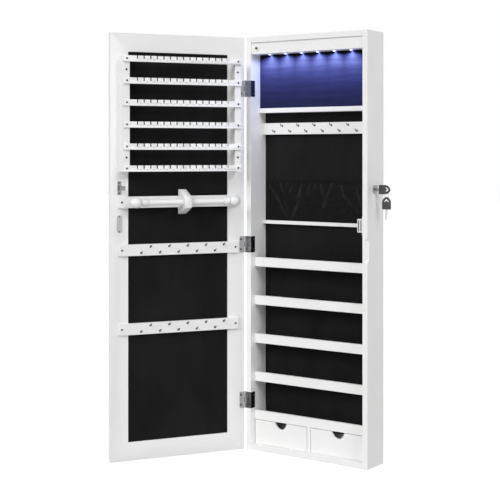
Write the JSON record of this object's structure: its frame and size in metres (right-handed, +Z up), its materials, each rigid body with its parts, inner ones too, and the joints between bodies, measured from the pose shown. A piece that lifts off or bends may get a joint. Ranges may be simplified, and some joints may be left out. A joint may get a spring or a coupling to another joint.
{
  "type": "jewelry mirror cabinet",
  "caption": "Tall wall-hung jewelry cabinet, its mirror door open on hinges, with a lit velvet shelf, hook boards, cloth pocket, shelves, drawers, earring rack and bracelet rod.",
  "frame": {"origin": "on the wall plane, at the bottom edge of the case, midway across its width", "axes": "+X to the right seen from the front, +Y into the wall, +Z up"},
  "size_m": [0.6159, 0.3962, 1.08],
  "materials": {
    "white_paint": "fibreboard with smooth satin white paint",
    "hardboard": "thin hardboard, white on its visible side",
    "black_velvet": "short black velvet pile on board",
    "pouch_satin": "gathered soft black cloth",
    "mirror_glass": "silvered flat glass",
    "chrome": "polished",
    "steel": "zinc plated",
    "white_plastic": "moulded, slightly rough",
    "grey_plastic": "moulded key head with a raised darker rim",
    "led_glow": "clear domed lens over a cold white light",
    "black_plastic": "moulded battery holder"
  },
  "bodies": {
    "case": {"left_side_panel": "white_paint", "right_side_panel": "white_paint", "top_panel": "white_paint", "bottom_panel": "white_paint", "back_panel": "hardboard", "back_lining": "black_velvet", "hanging_rail": "white_paint", "keyhole_plates": "steel", "led_fascia": "white_paint", "led_soffit": "white_paint", "led_lenses": "led_glow", "battery_box": "black_plastic", "light_panel": "black_velvet", "light_shelf": "white_paint", "switch_body": "white_plastic", "hook_board": "white_paint", "necklace_hooks": "chrome", "necklace_pouch": "pouch_satin", "pouch_bar": "white_paint", "shelf_1": "white_paint", "shelf_2": "white_paint", "shelf_3": "white_paint", "shelf_4": "white_paint", "drawer_shelf": "white_paint", "shelf_linings": "black_velvet", "drawer_divider": "white_paint", "magnetic_catch": "white_plastic", "catch_plates": "steel", "hinge_frame_leaves": "chrome", "hinge_pins": "chrome", "lock_housing": "chrome", "lock_nut": "steel"},
    "door": {"door_frame": "white_paint", "door_mirror": "mirror_glass", "door_lining": "black_velvet", "rack_posts": "white_paint", "earring_rails": "white_paint", "bracelet_batten": "white_paint", "bracelet_bracket": "white_paint", "bracelet_rod": "white_paint", "upper_hook_board": "white_paint", "lower_hook_board": "white_paint", "door_hooks": "chrome", "hinge_door_leaves": "chrome", "lock_strike": "chrome", "magnet_plate": "steel"},
    "left_drawer": {"left_drawer": "white_paint", "left_drawer_lining": "black_velvet"},
    "right_drawer": {"right_drawer": "white_paint", "right_drawer_lining": "black_velvet"},
    "lock": {"lock_plug": "chrome", "lock_cam": "steel", "key_blade": "steel", "key_head": "grey_plastic"},
    "spare_key": {"key_ring": "steel", "spare_key_blade": "steel", "spare_key_head": "grey_plastic"},
    "switch_plunger": {"switch_plunger": "white_plastic"}
  },
  "joints": [
    {"name": "door_hinge", "type": "hinge", "parent": "case", "child": "door", "pos_m": [-0.1852, -0.0815, 0.54], "axis": [0, 0, -1], "range_deg": [-121, 49]},
    {"name": "left_drawer_slide", "type": "slide", "parent": "case", "child": "left_drawer", "axis": [0, -1, 0], "range_m": [0, 0.045]},
    {"name": "right_drawer_slide", "type": "slide", "parent": "case", "child": "right_drawer", "axis": [0, -1, 0], "range_m": [0, 0.045]},
    {"name": "lock_turn", "type": "hinge", "parent": "case", "child": "lock", "pos_m": [0.1825, -0.043, 0.687], "axis": [-1, 0, 0], "range_deg": [0, 90]},
    {"name": "spare_key_swing", "type": "hinge", "parent": "lock", "child": "spare_key", "pos_m": [0.2152, -0.043, 0.6822], "axis": [0, 1, 0], "range_deg": [-25, 20]},
    {"name": "switch_press", "type": "slide", "parent": "case", "child": "switch_plunger", "axis": [0, 1, 0], "range_m": [0, 0.003], "stiffness_N_per_m": 200, "springref_m": -0.002}
  ]
}
